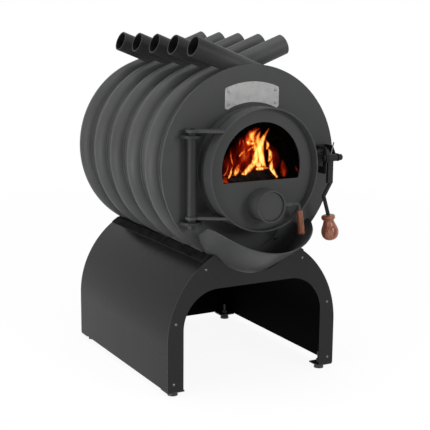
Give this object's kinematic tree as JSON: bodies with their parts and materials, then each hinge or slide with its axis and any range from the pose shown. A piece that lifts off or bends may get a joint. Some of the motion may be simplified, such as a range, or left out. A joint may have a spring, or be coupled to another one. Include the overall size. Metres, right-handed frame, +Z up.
{
  "type": "hot-air tube stove",
  "caption": "Round wood stove built from bent air pipes, on an arched sheet-metal stand, with a windowed round door, air damper, latch lever with wooden knob, ash lip and rear flue spigot.",
  "frame": {"origin": "on the floor, at the centre of the overall box seen from above", "axes": "+X to the right of someone facing the door, +Y from the door to the flue, +Z up"},
  "size_m": [0.452, 0.7348, 0.803],
  "materials": {
    "heat_paint": "matt charcoal heat-resistant paint on steel",
    "stand_paint": "satin dark grey powder coat on folded sheet",
    "zinc_steel": "bright zinc-plated steel",
    "bare_steel": "plain drawn steel",
    "sooted_steel": "steel plate blackened by the fire",
    "silver_plate": "satin silver plate, bare",
    "glass": "clear heat-resistant glass ceramic",
    "rope": "braided dark glass-fibre rope",
    "red_wood": "turned and oiled reddish-brown wood",
    "black_steel": "blackened steel of the feet, their nuts and brackets"
  },
  "bodies": {
    "stove": {"ash_lip": "heat_paint", "ash_lip_screws": "heat_paint", "baffle_tabs": "sooted_steel", "door_collar": "heat_paint", "flue_spigot": "heat_paint", "foot_brackets": "black_steel", "foot_lock_nuts": "black_steel", "front_plate": "heat_paint", "hinge_lugs": "heat_paint", "hinge_pin": "heat_paint", "hinge_sleeve": "heat_paint", "hinge_washers": "bare_steel", "latch_bolt": "heat_paint", "latch_bracket": "heat_paint", "nameplate": "silver_plate", "nameplate_rivets": "silver_plate", "rear_plate": "heat_paint", "shell_rings": "heat_paint", "shell_strips_left": "heat_paint", "shell_strips_right": "heat_paint", "smoke_baffle": "sooted_steel", "stand_front_panel": "stand_paint", "stand_rear_panel": "stand_paint", "stand_saddle_plate": "stand_paint", "stand_screws": "zinc_steel", "stand_side_left": "stand_paint", "stand_side_right": "stand_paint", "tube_left_1": "heat_paint", "tube_left_2": "heat_paint", "tube_left_3": "heat_paint", "tube_left_4": "heat_paint", "tube_left_5": "heat_paint", "tube_right_1": "heat_paint", "tube_right_2": "heat_paint", "tube_right_3": "heat_paint", "tube_right_4": "heat_paint", "tube_right_5": "heat_paint"},
    "door": {"door_ring": "heat_paint", "door_face": "heat_paint", "door_rope_seal": "rope", "glass_gasket": "rope", "window_glass": "glass", "glass_clips": "heat_paint", "air_inlet": "heat_paint", "door_arm_top": "heat_paint", "door_arm_bottom": "heat_paint", "door_strike": "heat_paint"},
    "air_damper": {"damper_flap": "heat_paint", "damper_rod": "heat_paint", "damper_handle": "red_wood"},
    "latch": {"latch_lever": "heat_paint", "latch_knob": "red_wood", "latch_hub_pin": "bare_steel"},
    "throttle": {"throttle_plate": "sooted_steel", "throttle_shaft": "bare_steel"},
    "foot_front_left": {"foot_front_left": "black_steel"},
    "foot_front_right": {"foot_front_right": "black_steel"},
    "foot_rear_left": {"foot_rear_left": "black_steel"},
    "foot_rear_right": {"foot_rear_right": "black_steel"}
  },
  "joints": [
    {"name": "door_hinge", "type": "hinge", "parent": "stove", "child": "door", "pos_m": [-0.162, -0.24659, 0.5095], "axis": [0, 0, -1], "range_deg": [0, 110]},
    {"name": "latch_turn", "type": "hinge", "parent": "stove", "child": "latch", "pos_m": [0.187, -0.27859, 0.5252], "axis": [-1, 0, 0], "range_deg": [0, 80]},
    {"name": "air_damper_turn", "type": "hinge", "parent": "door", "child": "air_damper", "pos_m": [0, -0.31059, 0.4317], "axis": [-1, 0, 0], "range_deg": [0, 90]},
    {"name": "throttle_turn", "type": "hinge", "parent": "stove", "child": "throttle", "pos_m": [0, 0.29741, 0.6245], "axis": [1, 0, 0], "range_deg": [0, 90]},
    {"name": "foot_screw_front_left", "type": "slide", "parent": "stove", "child": "foot_front_left", "axis": [0, 0, 1], "range_m": [-0.015, 0.003]},
    {"name": "foot_screw_front_right", "type": "slide", "parent": "stove", "child": "foot_front_right", "axis": [0, 0, 1], "range_m": [-0.015, 0.003]},
    {"name": "foot_screw_rear_left", "type": "slide", "parent": "stove", "child": "foot_rear_left", "axis": [0, 0, 1], "range_m": [-0.015, 0.003]},
    {"name": "foot_screw_rear_right", "type": "slide", "parent": "stove", "child": "foot_rear_right", "axis": [0, 0, 1], "range_m": [-0.015, 0.003]}
  ]
}
